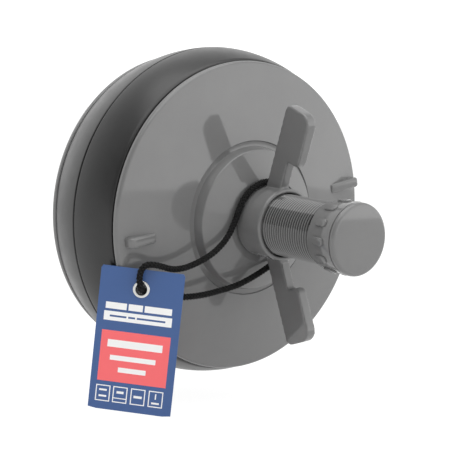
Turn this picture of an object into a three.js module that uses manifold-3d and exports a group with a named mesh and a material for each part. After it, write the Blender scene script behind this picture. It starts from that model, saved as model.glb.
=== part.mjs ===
import * as THREE from 'three';
import { mergeVertices } from 'three/addons/utils/BufferGeometryUtils.js';
import Module from 'manifold-3d';

const wasm = await Module();
wasm.setup();

// Expanding pipe plug, in millimetres. The spindle lies along Y with its screw cap towards -Y,
// +Z is up, and the origin is on the axis at the middle of the rubber sealing ring.
// Profiles are lists of [radius, distance ahead of the origin], where ahead is towards -Y.

// Clearances
const GAP = 0.3;
const RUNNING_CLEARANCE = 0.35;
const PRESSED_CLEARANCE = 0.2;

// Sealing ring
const RING_LENGTH = 32.4;
const RING_END_RADIUS = 52.9;
const RING_BULGE = 3.6;
const RING_CORNER = 0.8;

// Clamping plates
const PLATE_RADIUS = 52.5;
const REAR_PLATE_RADIUS = 53.1;
const FLANGE_THICKNESS = 2.2;
const PLATE_WALL = 3;
const DISH_RISE = 4;
const BOSS_RADIUS = 26.2;
const BOSS_HEIGHT = 3.1;
const BOSS_DRAFT = 0.8;
const GROOVE_WIDTH = 1.9;
const GROOVE_DEPTH = 0.5;
const HUB_RADIUS = 14;
const HUB_RISE = 3.1;
const GUIDE_RADIUS = 38.3;
const GUIDE_DEPTH = 10;
const SLEEVE_DEPTH = 13;

// Ribs on the front plate
const RIB_ANGLES = [15.3, 190.1];
const RIB_INNER_RADIUS = 38.5;
const RIB_OUTER_RADIUS = 49.6;
const RIB_WIDTH = 3.4;
const RIB_HEIGHT = 4.2;
const RIB_TAPER = 1.6;
const RIB_ROUNDING = 0.5;
const RIB_OUTER_CORNER = 1.4;
const RIB_INNER_CORNER = 0.8;

// Spindle, and the head that pulls the rear plate forward
const SPINDLE_RADIUS = 10.2;
const SPINDLE_BORE_RADIUS = 6.2;
const HEAD_RADIUS = 17;
const HEAD_THICKNESS = 3;
const SPIGOT_RADIUS = 8.2;
const SPIGOT_LENGTH = 9;
const SEAL_THICKNESS = 1.5;

// Wing nut
const NUT_BODY_RADIUS = 12;
const NUT_LENGTH = 11.4;
const NUT_EDGE = 0.7;
const WING_BACK_OFFSET = 3;
const WING_SWEEP = 20.5;
const WING_LENGTH = 30;
const WING_THICKNESS = 3.6;
const WING_ROUNDING = 0.6;
const WING_REAR_CORNER = 2.2;
const WING_FRONT_CORNER = 4;
const ARM_WIDTH = 6.8;
const PADDLE_WIDTH = 11.8;
const PADDLE_START = 12.3;
const PADDLE_CORNER = 2;
const ARM_CORNER = 0.8;
const WING_ANGLE = 97;
const WING_COUNT = 2;

// Screw cap
const CAP_DISTANCE = 21.9;
const CAP_REAR_RADIUS = 10.9;
const CAP_FRONT_RADIUS = 11.6;
const CAP_TOP_THICKNESS = 2;
const CAP_GROOVE = 0.4;
const CAP_EDGE = 1.2;
const CAP_SEAL_THICKNESS = 1;
const PAD_COUNT = 12;
const PAD_ANGLE = 6.5;
const PAD_LENGTH = 5;
const PAD_WIDTH = 2.6;
const PAD_HEIGHT = 0.6;

// Hang tag, its eyelet and its cord
const TAG_WIDTH = 27;
const TAG_HEIGHT = 46.5;
const TAG_THICKNESS = 0.4;
const TAG_CORNER = 0.4;
const TAG_HOLE_DROP = 6.4;
const TAG_TURN = 45;
const TAG_LEAN = 1.3;
const EYELET_CENTRE = [-44.5, -24.1, -22.85];
const EYELET_RADIUS = 2.75;
const EYELET_BORE_RADIUS = 1.8;
const EYELET_WALL = 0.25;
const EYELET_LIP = 0.3;
const CORD_RADIUS = 1;
const CORD_SIDES = 8;
const CORD_STEPS = 80;
const KNOT_CENTRE = [14.9, -31, -0.5];
const KNOT_RADII = [1.9, 1.7, 2.8];
const CORD_POINTS = [
  [14.5, -31, 2.9], [12.2, -31, 5.7], [8.6, -31, 10.2], [3.5, -31, 12.9], [-1.4, -31, 13.3],
  [-5.5, -31, 12.2], [-8.7, -31, 10.3], [-11.5, -31, 7], [-13.1, -31, 3.1], [-14.6, -30.9, -1.3],
  [-16.9, -30.6, -5.9], [-20.6, -30, -10], [-24.4, -29.4, -12.6], [-28.2, -28.9, -14.4],
  [-32.1, -28.5, -15.6], [-36, -28.2, -15.9], [-39.8, -28, -15.1], [-43, -27.5, -14.5],
  [-45.2, -26.4, -14.8], [-46.3, -25.6, -16.5], [-46.5, -25.3, -18.6], [-46.4, -25.4, -20.6],
  [-45.9, -25.4, -22.2], [-44.5, -24.1, -22.9], [-43.2, -22.8, -23.2], [-41.6, -22.4, -24.2],
  [-38.8, -22.9, -25], [-33.6, -24.8, -25.4], [-28.8, -26.6, -25.4], [-22, -28, -24.6],
  [-16.1, -29, -23.2], [-10.7, -29.8, -21.7], [-6.7, -30.2, -20.1], [-2.6, -30.7, -18],
  [2.2, -31, -15.3], [6.8, -31, -12.3], [10.7, -31, -9], [13.5, -31, -5.8], [14.7, -31, -3.8],
];

// Fineness of the turned pieces
const LARGE_SEGMENTS = 72;
const SMALL_SEGMENTS = 40;
const EYELET_SEGMENTS = 20;

// Places along the axis, from the sealing ring forwards and backwards
const flangeBack = RING_LENGTH / 2 + GAP;
const flangeFront = flangeBack + FLANGE_THICKNESS;
const bossBase = flangeFront + DISH_RISE;
const bossTop = bossBase + BOSS_HEIGHT;
const hubTop = bossTop + HUB_RISE;
const nutBack = hubTop + GAP;
const nutFront = nutBack + NUT_LENGTH;
const capRear = nutFront + CAP_DISTANCE;
const shoulder = capRear - GAP;
const spigotEnd = shoulder + SPIGOT_LENGTH;
const capSealRear = spigotEnd + GAP;
const capSealFront = capSealRear + CAP_SEAL_THICKNESS;
const capInside = capSealFront + GAP;
const capFront = capInside + CAP_TOP_THICKNESS;
const sealFront = -bossTop - GAP;
const headFront = sealFront - SEAL_THICKNESS - GAP;
const headBack = headFront - HEAD_THICKNESS;
const plateBoreRadius = SPINDLE_RADIUS + RUNNING_CLEARANCE;
const nutBoreRadius = SPINDLE_RADIUS + RUNNING_CLEARANCE;
const nutWall = NUT_BODY_RADIUS - nutBoreRadius;

function material(colour, roughness, metalness = 0) {
  return new THREE.MeshStandardMaterial({ color: colour, roughness, metalness });
}

const greyPlastic = () => material(0x858585, 0.3);
const blackRubber = () => material(0x242424, 0.55);
const blackCord = () => material(0x161616, 0.9);
const printedCard = () => material(0x3c5a90, 0.5);
const brightMetal = () => material(0xc4c4c4, 0.25, 1);

function turned(profile, segments) {
  const points = profile.map(([radius, ahead]) => new THREE.Vector2(radius, -ahead));
  if (THREE.ShapeUtils.area(points) < 0) points.reverse();
  if (points[0].x > 0) points.push(points[0].clone());
  return new THREE.LatheGeometry(points, segments);
}

function toSolid(geometry) {
  const bare = geometry.clone();
  bare.deleteAttribute('normal');
  bare.deleteAttribute('uv');
  const merged = mergeVertices(bare, 1e-4);
  const index = merged.index.array;
  const corners = [];
  for (let i = 0; i < index.length; i += 3) {
    const [a, b, c] = [index[i], index[i + 1], index[i + 2]];
    if (a !== b && b !== c && c !== a) corners.push(a, b, c);
  }
  return new wasm.Manifold(new wasm.Mesh({
    numProp: 3,
    vertProperties: merged.attributes.position.array,
    triVerts: new Uint32Array(corners),
  }));
}

function toGeometry(solid) {
  const mesh = solid.getMesh();
  const geometry = new THREE.BufferGeometry();
  geometry.setAttribute('position', new THREE.BufferAttribute(mesh.vertProperties, 3));
  geometry.setIndex(new THREE.BufferAttribute(mesh.triVerts, 1));
  return geometry;
}

function joined(geometries) {
  return toGeometry(geometries.map(toSolid).reduce((whole, piece) => whole.add(piece)));
}

// An outline through the corners [x, y, rounding], with each corner rounded off
function roundedOutline(corners) {
  const shape = new THREE.Shape();
  corners.forEach(([x, y, rounding], i) => {
    const corner = new THREE.Vector2(x, y);
    const [bx, by] = corners[(i + corners.length - 1) % corners.length];
    const [ax, ay] = corners[(i + 1) % corners.length];
    const start = new THREE.Vector2(bx, by).sub(corner).setLength(rounding).add(corner);
    const end = new THREE.Vector2(ax, ay).sub(corner).setLength(rounding).add(corner);
    if (i === 0) shape.moveTo(start.x, start.y);
    else shape.lineTo(start.x, start.y);
    if (rounding > 0) shape.quadraticCurveTo(x, y, end.x, end.y);
  });
  shape.closePath();
  return shape;
}

// A slab of an outline in the (radius, ahead) plane, centred on that plane and turned to an angle
function radialSlab(outline, thickness, rounding, degrees) {
  const slab = new THREE.ExtrudeGeometry(outline, {
    depth: thickness - 2 * rounding,
    bevelEnabled: rounding > 0,
    bevelThickness: rounding,
    bevelSize: rounding,
    bevelOffset: -rounding,
    bevelSegments: 2,
    curveSegments: 4,
  });
  slab.translate(0, 0, rounding - thickness / 2);
  slab.rotateY(-THREE.MathUtils.degToRad(degrees));
  return slab;
}

function ringRadiusAt(ahead) {
  const share = ahead / (RING_LENGTH / 2);
  return RING_END_RADIUS + RING_BULGE * (1 - share * share);
}

function sealingRing() {
  const half = RING_LENGTH / 2;
  const bore = GUIDE_RADIUS + GAP;
  const outer = [];
  const steps = 10;
  for (let i = 0; i <= steps; i += 1) {
    const ahead = (half - RING_CORNER) * (2 * i / steps - 1);
    outer.push([ringRadiusAt(ahead), ahead]);
  }
  const endRadius = RING_END_RADIUS - RING_CORNER;
  return turned([[bore, -half], [endRadius, -half], ...outer, [endRadius, half], [bore, half]], LARGE_SEGMENTS);
}

function faceAt(radius) {
  return flangeFront + DISH_RISE * (PLATE_RADIUS - radius) / (PLATE_RADIUS - BOSS_RADIUS);
}

// The rim is round-edged, and the guide collar keeps the sealing ring centred
function plateRim(radius) {
  const edge = FLANGE_THICKNESS / 2;
  const middle = flangeBack + edge;
  const rim = [];
  for (let degrees = -90; degrees <= 90; degrees += 30) {
    const turn = THREE.MathUtils.degToRad(degrees);
    rim.push([radius - edge + edge * Math.cos(turn), middle + edge * Math.sin(turn)]);
  }
  return rim;
}

function plateUnderside() {
  const guideInner = GUIDE_RADIUS - PLATE_WALL;
  const sleeveRadius = plateBoreRadius + PLATE_WALL;
  const stepRadius = BOSS_RADIUS - GROOVE_WIDTH - PLATE_WALL;
  return [
    [sleeveRadius, hubTop - SLEEVE_DEPTH],
    [sleeveRadius, bossTop - PLATE_WALL],
    [stepRadius, bossTop - PLATE_WALL],
    [BOSS_RADIUS, bossBase - PLATE_WALL],
    [guideInner, faceAt(guideInner) - PLATE_WALL],
    [guideInner, flangeBack - GUIDE_DEPTH],
    [GUIDE_RADIUS, flangeBack - GUIDE_DEPTH],
    [GUIDE_RADIUS, flangeBack],
  ];
}

function frontPlateProfile() {
  const grooveFloor = bossBase - GROOVE_DEPTH;
  const wallRadius = BOSS_RADIUS - GROOVE_WIDTH;
  return [
    ...plateRim(PLATE_RADIUS),
    [BOSS_RADIUS, bossBase],
    [BOSS_RADIUS - GROOVE_DEPTH, grooveFloor],
    [wallRadius, grooveFloor],
    [wallRadius - BOSS_DRAFT, bossTop],
    [HUB_RADIUS, hubTop],
    [plateBoreRadius, hubTop],
    [plateBoreRadius, hubTop - SLEEVE_DEPTH],
    ...plateUnderside(),
  ];
}

// The rib's top line rises outwards while the plate's face falls away below it
function rib(degrees) {
  const top = flangeFront + RIB_HEIGHT;
  const outline = roundedOutline([
    [RIB_INNER_RADIUS, -(flangeFront - GAP), 0],
    [RIB_OUTER_RADIUS, -(flangeFront - GAP), 0],
    [RIB_OUTER_RADIUS, -top, RIB_OUTER_CORNER],
    [RIB_INNER_RADIUS, -(top - RIB_TAPER), RIB_INNER_CORNER],
  ]);
  return radialSlab(outline, RIB_WIDTH, RIB_ROUNDING, degrees);
}

function frontPlate() {
  const pieces = [turned(frontPlateProfile(), LARGE_SEGMENTS)];
  RIB_ANGLES.forEach((degrees) => pieces.push(rib(degrees)));
  return joined(pieces);
}

function rearPlate() {
  const profile = [
    ...plateRim(REAR_PLATE_RADIUS),
    [BOSS_RADIUS, bossBase],
    [BOSS_RADIUS - BOSS_DRAFT, bossTop],
    [plateBoreRadius, bossTop],
    [plateBoreRadius, hubTop - SLEEVE_DEPTH],
    ...plateUnderside(),
  ];
  return turned(profile.map(([radius, ahead]) => [radius, -ahead]), LARGE_SEGMENTS);
}

function spindle() {
  return turned([
    [SPINDLE_BORE_RADIUS, headBack],
    [HEAD_RADIUS, headBack],
    [HEAD_RADIUS, headFront],
    [SPINDLE_RADIUS, headFront],
    [SPINDLE_RADIUS, shoulder],
    [SPIGOT_RADIUS, shoulder],
    [SPIGOT_RADIUS, spigotEnd],
    [SPINDLE_BORE_RADIUS, spigotEnd],
  ], SMALL_SEGMENTS);
}

function spindleSeal() {
  const back = sealFront - SEAL_THICKNESS;
  const bore = SPINDLE_RADIUS + GAP;
  return turned([[bore, back], [HEAD_RADIUS, back], [HEAD_RADIUS, sealFront], [bore, sealFront]], SMALL_SEGMENTS);
}

function nutBody() {
  const edge = Math.min(NUT_EDGE, nutWall / 2);
  return turned([
    [nutBoreRadius, nutBack],
    [NUT_BODY_RADIUS, nutBack],
    [NUT_BODY_RADIUS, nutFront - edge],
    [NUT_BODY_RADIUS - edge, nutFront],
    [nutBoreRadius, nutFront],
  ], SMALL_SEGMENTS);
}

// A swept arm that widens forwards into a paddle, drawn along the arm and then leaned forward.
// Its root is half way through the nut's wall.
function wing(degrees) {
  const root = -nutWall / 2;
  const lean = THREE.MathUtils.degToRad(WING_SWEEP);
  const place = (along, across) => [
    NUT_BODY_RADIUS + along * Math.cos(lean) - across * Math.sin(lean),
    -(nutBack + WING_BACK_OFFSET + along * Math.sin(lean) + across * Math.cos(lean)),
  ];
  const outline = roundedOutline([
    [...place(root, 0), 0],
    [...place(WING_LENGTH, 0), WING_REAR_CORNER],
    [...place(WING_LENGTH, PADDLE_WIDTH), WING_FRONT_CORNER],
    [...place(PADDLE_START, PADDLE_WIDTH), PADDLE_CORNER],
    [...place(PADDLE_START, ARM_WIDTH), ARM_CORNER],
    [...place(root + ARM_WIDTH * Math.tan(lean), ARM_WIDTH), 0],
  ]);
  return radialSlab(outline, WING_THICKNESS, WING_ROUNDING, degrees);
}

function wingNut() {
  const pieces = [nutBody()];
  for (let i = 0; i < WING_COUNT; i += 1) pieces.push(wing(WING_ANGLE + i * 360 / WING_COUNT));
  return joined(pieces);
}

function gripPad(degrees) {
  const length = capInside - capRear;
  const middle = capRear + length / 2;
  const radius = (CAP_REAR_RADIUS + CAP_FRONT_RADIUS) / 2;
  const pad = new THREE.BoxGeometry(2 * PAD_HEIGHT, PAD_LENGTH, PAD_WIDTH);
  pad.rotateZ(Math.atan2(CAP_FRONT_RADIUS - CAP_REAR_RADIUS, length));
  pad.translate(radius, -middle, 0);
  pad.rotateY(-THREE.MathUtils.degToRad(degrees));
  return pad;
}

function screwCap() {
  const bore = SPIGOT_RADIUS + GAP;
  const shell = turned([
    [bore, capRear],
    [CAP_REAR_RADIUS, capRear],
    [CAP_FRONT_RADIUS, capInside],
    [CAP_FRONT_RADIUS - CAP_GROOVE, capInside],
    [CAP_FRONT_RADIUS - CAP_GROOVE, capInside + CAP_GROOVE],
    [CAP_FRONT_RADIUS, capInside + CAP_GROOVE],
    [CAP_FRONT_RADIUS - CAP_EDGE / 4, capFront - CAP_EDGE / 4],
    [CAP_FRONT_RADIUS - CAP_EDGE, capFront],
    [0, capFront],
    [0, capInside],
    [bore, capInside],
  ], SMALL_SEGMENTS);
  const pieces = [shell];
  for (let i = 0; i < PAD_COUNT; i += 1) pieces.push(gripPad(PAD_ANGLE + i * 360 / PAD_COUNT));
  return joined(pieces);
}

function capSeal() {
  return turned([[0, capSealRear], [SPIGOT_RADIUS, capSealRear], [SPIGOT_RADIUS, capSealFront], [0, capSealFront]],
    SMALL_SEGMENTS);
}

function tagCard() {
  const right = TAG_WIDTH / 2;
  const top = TAG_HOLE_DROP;
  const bottom = TAG_HOLE_DROP - TAG_HEIGHT;
  const card = roundedOutline([
    [-right, bottom, TAG_CORNER],
    [right, bottom, TAG_CORNER],
    [right, top, TAG_CORNER],
    [-right, top, TAG_CORNER],
  ]);
  const hole = new THREE.Path();
  hole.absarc(0, 0, EYELET_BORE_RADIUS + EYELET_WALL + PRESSED_CLEARANCE, 0, 2 * Math.PI, true);
  card.holes.push(hole);
  const slab = new THREE.ExtrudeGeometry(card, { depth: TAG_THICKNESS, bevelEnabled: false, curveSegments: 10 });
  return slab.translate(0, 0, -TAG_THICKNESS / 2);
}

// A barrel through the card with a lip on each side
function eyelet() {
  const inner = TAG_THICKNESS / 2 + PRESSED_CLEARANCE;
  const outer = inner + EYELET_LIP;
  const barrel = EYELET_BORE_RADIUS + EYELET_WALL;
  const ring = turned([
    [EYELET_BORE_RADIUS, -outer],
    [EYELET_RADIUS, -outer],
    [EYELET_RADIUS, -inner],
    [barrel, -inner],
    [barrel, inner],
    [EYELET_RADIUS, inner],
    [EYELET_RADIUS, outer],
    [EYELET_BORE_RADIUS, outer],
  ], EYELET_SEGMENTS);
  return ring.rotateX(Math.PI / 2);
}

function tagCord() {
  const route = new THREE.CatmullRomCurve3(CORD_POINTS.map((point) => new THREE.Vector3(...point)));
  const section = new THREE.Shape();
  for (let i = 0; i < CORD_SIDES; i += 1) {
    const turn = 2 * Math.PI * i / CORD_SIDES;
    const corner = [CORD_RADIUS * Math.cos(turn), CORD_RADIUS * Math.sin(turn)];
    if (i === 0) section.moveTo(...corner);
    else section.lineTo(...corner);
  }
  section.closePath();
  return new THREE.ExtrudeGeometry(section, { steps: CORD_STEPS, extrudePath: route });
}

function cordKnot() {
  return new THREE.SphereGeometry(1, 14, 10).scale(...KNOT_RADII).translate(...KNOT_CENTRE);
}

function named(name, geometry, finish) {
  const mesh = new THREE.Mesh(geometry, finish);
  mesh.name = name;
  return mesh;
}

// The tag hangs upright and is turned about its eyelet towards the left
function hangTag() {
  const turn = new THREE.Group();
  turn.position.set(...EYELET_CENTRE);
  turn.rotation.z = -THREE.MathUtils.degToRad(TAG_TURN);
  const upright = new THREE.Group();
  upright.rotation.x = Math.PI / 2;
  const lean = new THREE.Group();
  lean.rotation.z = -THREE.MathUtils.degToRad(TAG_LEAN);
  lean.add(named('hang_tag', tagCard(), printedCard()));
  lean.add(named('tag_eyelet', eyelet(), brightMetal()));
  upright.add(lean);
  turn.add(upright);
  return turn;
}

const plug = new THREE.Group();
plug.add(named('rear_plate', rearPlate(), greyPlastic()));
plug.add(named('spindle', spindle(), greyPlastic()));
plug.add(named('spindle_seal', spindleSeal(), blackRubber()));
plug.add(named('sealing_ring', sealingRing(), blackRubber()));
plug.add(named('front_plate', frontPlate(), greyPlastic()));
plug.add(named('wing_nut', wingNut(), greyPlastic()));
plug.add(named('cap_seal', capSeal(), blackRubber()));
plug.add(named('screw_cap', screwCap(), greyPlastic()));
plug.add(hangTag());
plug.add(named('tag_cord', tagCord(), blackCord()));
plug.add(named('cord_knot', cordKnot(), blackCord()));

export default plug;
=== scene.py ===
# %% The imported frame
import math

import bmesh
import bpy
from mathutils import Matrix, Vector


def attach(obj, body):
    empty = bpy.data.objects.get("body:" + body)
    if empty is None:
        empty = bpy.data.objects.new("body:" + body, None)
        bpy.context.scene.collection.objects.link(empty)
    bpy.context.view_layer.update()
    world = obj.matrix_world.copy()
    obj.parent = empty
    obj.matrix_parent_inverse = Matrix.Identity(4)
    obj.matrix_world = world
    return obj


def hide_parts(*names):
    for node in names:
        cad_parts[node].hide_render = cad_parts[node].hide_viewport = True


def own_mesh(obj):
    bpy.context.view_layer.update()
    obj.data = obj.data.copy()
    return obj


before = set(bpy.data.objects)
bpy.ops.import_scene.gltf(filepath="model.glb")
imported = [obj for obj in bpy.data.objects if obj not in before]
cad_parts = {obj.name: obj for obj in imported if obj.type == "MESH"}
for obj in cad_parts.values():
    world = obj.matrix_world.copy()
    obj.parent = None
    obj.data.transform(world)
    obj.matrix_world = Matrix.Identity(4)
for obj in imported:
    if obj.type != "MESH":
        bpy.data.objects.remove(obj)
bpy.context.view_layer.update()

# %% [markdown]
# # A pipe plug, from frame to finished look
# The plug is a rubber ring between two plastic plates. A wing nut on a hollow threaded spindle
# draws the plates together, so the ring bulges and grips the pipe. A screw cap closes the spindle,
# and a printed card hangs from a braided cord round the nut.
# The frame gives the axis along Y with the cap towards -Y. Every size here is written in
# millimetres, as on the maker's drawing, and turned into metres where the mesh is made.

# %% Sizes that the whole plug shares
MM = 0.001

RING_HALF_LENGTH = 16.2
RING_END_RADIUS = 52.9
RING_BULGE = 3.6
PLATE_RADIUS = 52.5
FLANGE_BACK = 16.5
FLANGE_FRONT = 18.7
REAR_PLATE_RADIUS = 53.1
BOSS_RADIUS = 26.2
BOSS_BASE = 22.7
BOSS_TOP = 25.8
HUB_TOP = 28.9
NUT_BACK = 29.2
NUT_FRONT = 40.6
CAP_REAR = 62.5
CAP_INSIDE = 72.8
CAP_FRONT = 74.8
SPINDLE_RADIUS = 10.2
THREAD_PITCH = 1.1

# %% [markdown]
# ## The camera
# A product photograph is taken from some way off with a long lens, so circles stay near-true
# ellipses. The camera could be placed by eye, but this one was worked out from the plates'
# and the ring's outlines: they are circles on one axis, and only one view turns them into
# the ellipses that the photograph shows. It is rolled a little, because the card hangs plumb.

# %% Camera
CAMERA_PLACE = (-303.52, -376.92, 45.41)
FOCAL_PIXELS = 1389.7
IMAGE_PIXELS = 456
SENSOR_MM = 36.0


def place_camera(place, right, upward):
    data = bpy.data.cameras.new("photo_camera")
    camera = bpy.data.objects.new("photo_camera", data)
    bpy.context.scene.collection.objects.link(camera)
    data.sensor_width = SENSOR_MM
    data.lens = FOCAL_PIXELS / IMAGE_PIXELS * SENSOR_MM
    backward = right.cross(upward)
    turn = Matrix((right, upward, backward)).transposed()
    camera.matrix_world = Matrix.Translation(place * MM) @ turn.to_4x4()
    bpy.context.scene.camera = camera
    return camera


# The frame's X, Y and Z axes as the photograph's camera sees them give the camera's own axes.
seen_x = Vector((0.77294, 0.0, -0.63448))
seen_y = Vector((-0.62854, 0.13647, -0.76571))
seen_z = Vector((0.08659, 0.99064, 0.10548))
camera_right = Vector((seen_x.x, seen_y.x, seen_z.x))
camera_up = Vector((seen_x.y, seen_y.y, seen_z.y))
camera = place_camera(Vector(CAMERA_PLACE), camera_right, camera_up)
print("lens", round(camera.data.lens, 1), "mm")

# %% [markdown]
# ## Helpers for turned and moulded shapes
# Most of the plug is round, so its pieces are lathe work: a half outline spun about the axis.
# A moulded part has no sharp corner, so each corner of an outline gets a small fillet first.
# The fillet is a true arc, because a straight chamfer shows as a hard line in a glossy surface.

# %% Outlines with rounded corners
ARC_STEPS = 5


def filleted(corners):
    """Corners of a closed outline are (x, y, radius); each becomes an arc of that radius."""
    points = []
    count = len(corners)
    for i, (x, y, radius) in enumerate(corners):
        corner = Vector((x, y))
        if radius <= 0:
            points.append(corner)
            continue
        before = (Vector(corners[i - 1][:2]) - corner).normalized()
        after = (Vector(corners[(i + 1) % count][:2]) - corner).normalized()
        half = before.angle(after) / 2
        centre = corner + (before + after).normalized() * (radius / math.sin(half))
        start = corner + before * (radius / math.tan(half)) - centre
        sweep = start.angle_signed(corner + after * (radius / math.tan(half)) - centre)
        for step in range(ARC_STEPS + 1):
            turn = Matrix.Rotation(-sweep * step / ARC_STEPS, 2)
            points.append(centre + turn @ start)
    return points


rounded_square = filleted([(0, 0, 1), (9, 0, 1), (9, 9, 1), (0, 9, 1)])
print("a square with rounded corners has", len(rounded_square), "points")

# %% Meshes from points and faces
SHARP_ANGLE = math.radians(35)
MERGE_DISTANCE = 1e-7


def mesh_piece(name, points, faces):
    mesh = bpy.data.meshes.new(name)
    mesh.from_pydata([Vector(point) * MM for point in points], [], faces)
    piece = bpy.data.objects.new(name, mesh)
    bpy.context.scene.collection.objects.link(piece)
    tidy_mesh(piece)
    return piece


def tidy_mesh(piece, sharp=SHARP_ANGLE):
    work = bmesh.new()
    work.from_mesh(piece.data)
    bmesh.ops.remove_doubles(work, verts=work.verts, dist=MERGE_DISTANCE)
    bmesh.ops.recalc_face_normals(work, faces=work.faces)
    work.to_mesh(piece.data)
    work.free()
    piece.data.shade_smooth()
    piece.data.set_sharp_from_angle(angle=sharp)


# %% Turning an outline about the spindle's axis
def turned(name, outline, steps):
    """Outline points are (radius, distance ahead of the frame's origin)."""
    points = []
    faces = []
    count = len(outline)
    for step in range(steps):
        turn = 2 * math.pi * step / steps
        for radius, ahead in outline:
            points.append((radius * math.cos(turn), -ahead, radius * math.sin(turn)))
    for step in range(steps):
        here, there = step * count, (step + 1) % steps * count
        for i in range(count):
            j = (i + 1) % count
            faces.append((here + i, here + j, there + j, there + i))
    return mesh_piece(name, points, faces)


# %% Freezing modifiers into a plain mesh
def frozen(piece, sharp=SHARP_ANGLE):
    bpy.context.view_layer.update()
    graph = bpy.context.evaluated_depsgraph_get()
    mesh = bpy.data.meshes.new_from_object(piece.evaluated_get(graph))
    mesh.name = piece.name
    piece.modifiers.clear()
    if piece.type == "MESH":
        piece.data = mesh
        tidy_mesh(piece, sharp)
        return piece
    whole = bpy.data.objects.new(piece.name + "_mesh", mesh)
    bpy.context.scene.collection.objects.link(whole)
    bpy.data.objects.remove(piece)
    tidy_mesh(whole, sharp)
    return whole


def with_modifier(piece, kind, **settings):
    modifier = piece.modifiers.new(kind.lower(), kind)
    for key, value in settings.items():
        setattr(modifier, key, value)
    return modifier


# %% [markdown]
# ## Finishes
# Every finish is made of nodes that read the Object coordinates, which are the frame's own
# metres, so a grain of half a millimetre is half a millimetre on every piece. Shared effects
# sit in small node groups: one gives a fine grain, one a slow mottling, one a box for the print.

# %% Small helpers for node trees
def link(tree, source, target):
    tree.links.new(source, target)


def node(tree, kind, **inputs):
    made = tree.nodes.new(kind)
    for key, value in inputs.items():
        made.inputs[key.replace("_", " ")].default_value = value
    return made


def math_node(tree, operation, first, second=None):
    made = tree.nodes.new("ShaderNodeMath")
    made.operation = operation
    for socket, value in zip(made.inputs, (first, second)):
        if value is None:
            continue
        if isinstance(value, (int, float)):
            socket.default_value = value
        else:
            link(tree, value, socket)
    return made.outputs[0]


def group(name, inputs, outputs):
    tree = bpy.data.node_groups.new(name, "ShaderNodeTree")
    for label, kind, value in inputs:
        socket = tree.interface.new_socket(label, in_out="INPUT", socket_type=kind)
        if value is not None:
            socket.default_value = value
    for label, kind in outputs:
        tree.interface.new_socket(label, in_out="OUTPUT", socket_type=kind)
    return tree, tree.nodes.new("NodeGroupInput"), tree.nodes.new("NodeGroupOutput")


def use_group(tree, shared, **inputs):
    made = tree.nodes.new("ShaderNodeGroup")
    made.node_tree = shared
    for key, value in inputs.items():
        made.inputs[key.replace("_", " ")].default_value = value
    return made


# %% The grain group
def make_grain():
    """Fine grain as a normal, over a slow waviness that a cooled moulding has."""
    tree, given, result = group(
        "surface_grain",
        [("Grain Scale", "NodeSocketFloat", 2500.0), ("Grain Depth", "NodeSocketFloat", 0.2),
         ("Wave Scale", "NodeSocketFloat", 120.0), ("Wave Depth", "NodeSocketFloat", 0.3)],
        [("Normal", "NodeSocketVector")],
    )
    place = tree.nodes.new("ShaderNodeTexCoord")
    wave = node(tree, "ShaderNodeTexNoise", Detail=1.0, Roughness=0.4)
    grain = node(tree, "ShaderNodeTexNoise", Detail=3.0, Roughness=0.6)
    link(tree, given.outputs["Wave Scale"], wave.inputs["Scale"])
    link(tree, given.outputs["Grain Scale"], grain.inputs["Scale"])
    wave_bump = node(tree, "ShaderNodeBump", Distance=0.0002)
    grain_bump = node(tree, "ShaderNodeBump", Distance=0.00002)
    for source, bump, depth in ((wave, wave_bump, "Wave Depth"), (grain, grain_bump, "Grain Depth")):
        link(tree, place.outputs["Object"], source.inputs["Vector"])
        link(tree, source.outputs["Fac"], bump.inputs["Height"])
        link(tree, given.outputs[depth], bump.inputs["Strength"])
    link(tree, wave_bump.outputs["Normal"], grain_bump.inputs["Normal"])
    link(tree, grain_bump.outputs["Normal"], result.inputs["Normal"])
    return tree


surface_grain = make_grain()
print("group", surface_grain.name)

# %% The mottling group
def make_mottle():
    """A slow and a quick noise mixed into one value between two limits."""
    tree, given, result = group(
        "mottle",
        [("Scale", "NodeSocketFloat", 60.0), ("Low", "NodeSocketFloat", 0.2),
         ("High", "NodeSocketFloat", 0.3)],
        [("Value", "NodeSocketFloat")],
    )
    place = tree.nodes.new("ShaderNodeTexCoord")
    noise = node(tree, "ShaderNodeTexNoise", Detail=5.0, Roughness=0.65)
    link(tree, place.outputs["Object"], noise.inputs["Vector"])
    link(tree, given.outputs["Scale"], noise.inputs["Scale"])
    spread = node(tree, "ShaderNodeMapRange", From_Min=0.3, From_Max=0.7)
    link(tree, noise.outputs["Fac"], spread.inputs["Value"])
    link(tree, given.outputs["Low"], spread.inputs["To Min"])
    link(tree, given.outputs["High"], spread.inputs["To Max"])
    link(tree, spread.outputs["Result"], result.inputs["Value"])
    return tree


mottle = make_mottle()
print("group", mottle.name)

# %% A finish with a shader, a grain and a mottled roughness
def start_finish(name, colour, metallic=0.0):
    material = bpy.data.materials.new(name)
    material.use_nodes = True
    tree = material.node_tree
    shader = tree.nodes["Principled BSDF"]
    shader.inputs["Base Color"].default_value = (*colour, 1.0)
    shader.inputs["Metallic"].default_value = metallic
    return material, tree, shader


def add_grain(tree, shader, **depths):
    grain = use_group(tree, surface_grain, **depths)
    link(tree, grain.outputs["Normal"], shader.inputs["Normal"])


def add_mottled_roughness(tree, shader, scale, low, high):
    change = use_group(tree, mottle, Scale=scale, Low=low, High=high)
    link(tree, change.outputs["Value"], shader.inputs["Roughness"])


def add_mottled_colour(tree, shader, dark, light, scale):
    change = use_group(tree, mottle, Scale=scale, Low=0.0, High=1.0)
    mix = tree.nodes.new("ShaderNodeMix")
    mix.data_type = "RGBA"
    mix.inputs["A"].default_value = (*dark, 1.0)
    mix.inputs["B"].default_value = (*light, 1.0)
    link(tree, change.outputs["Value"], mix.inputs["Factor"])
    link(tree, mix.outputs["Result"], shader.inputs["Base Color"])


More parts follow.
